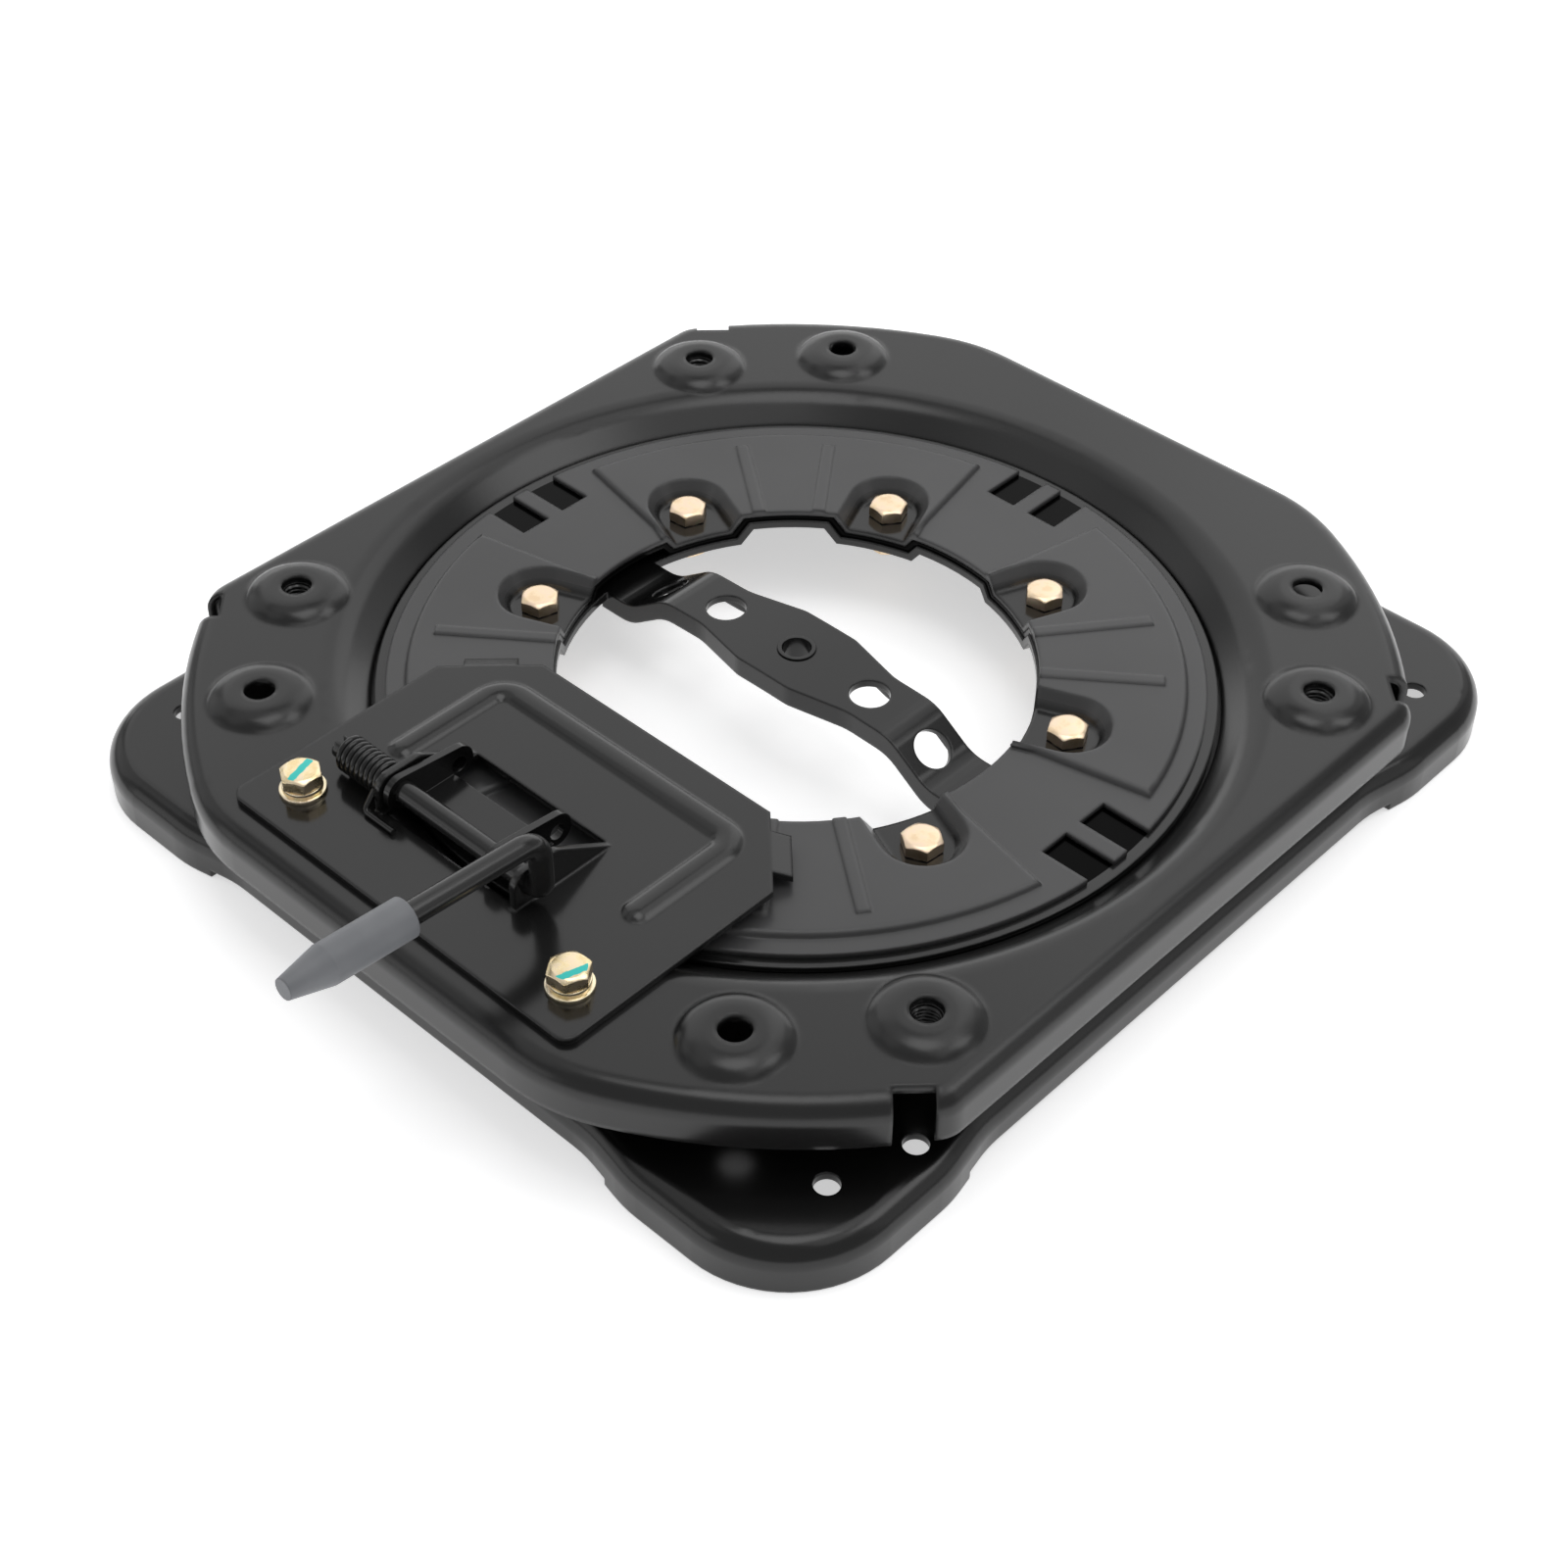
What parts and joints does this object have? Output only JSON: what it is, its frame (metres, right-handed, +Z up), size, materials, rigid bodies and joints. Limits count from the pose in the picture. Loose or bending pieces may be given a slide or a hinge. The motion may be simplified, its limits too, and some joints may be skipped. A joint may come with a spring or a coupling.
{
  "type": "swivel seat base",
  "caption": "Low pressed-steel swivel base for a vehicle seat: square foot plate with raised hub and slotted ring, round-cornered turntable with seat fixings, sprung lever latch.",
  "frame": {"origin": "on the swivel axis, in the plane that the base plate's corner lobes stand on", "axes": "+Z up along the swivel axis; -Y toward the latch lever; +X along the bridge"},
  "size_m": [0.358, 0.4518, 0.0918],
  "materials": {
    "black_paint": "satin black",
    "disc_paint": "satin black",
    "latch_paint": "satin black",
    "bush_steel": "satin black",
    "yellow_zinc": "yellow passivated zinc",
    "glide_plastic": "matt",
    "soft_grip": "soft matt grey",
    "spring_steel": "black"
  },
  "bodies": {
    "base": {"base_plate": "black_paint", "bridge_bush": "bush_steel", "glide_ring_lower": "glide_plastic", "ring_disc_lower": "disc_paint", "ring_disc_upper": "disc_paint", "ring_bolts": "yellow_zinc", "ring_nuts": "yellow_zinc"},
    "turntable": {"turntable_plate": "black_paint", "glide_ring_upper": "glide_plastic", "seat_weld_nuts": "black_paint", "latch_plate": "latch_paint", "latch_bolts": "yellow_zinc", "latch_spring_washers": "yellow_zinc", "latch_flat_washers": "yellow_zinc", "latch_weld_nuts": "black_paint", "torsion_spring": "spring_steel"},
    "latch": {"lever_rod": "latch_paint", "lever_grip": "soft_grip", "locking_pawl": "latch_paint"}
  },
  "joints": [
    {"name": "swivel", "type": "hinge", "parent": "base", "child": "turntable", "pos_m": [0, 0, 0], "axis": [0, 0, 1], "continuous": true},
    {"name": "latch_lever", "type": "hinge", "parent": "turntable", "child": "latch", "pos_m": [0, -0.152, 0.056], "axis": [1, 0, 0], "range_deg": [-11.5, 12], "stiffness_Nm_per_rad": 1, "springref_deg": -34.38, "deforming": ["torsion_spring"]}
  ]
}
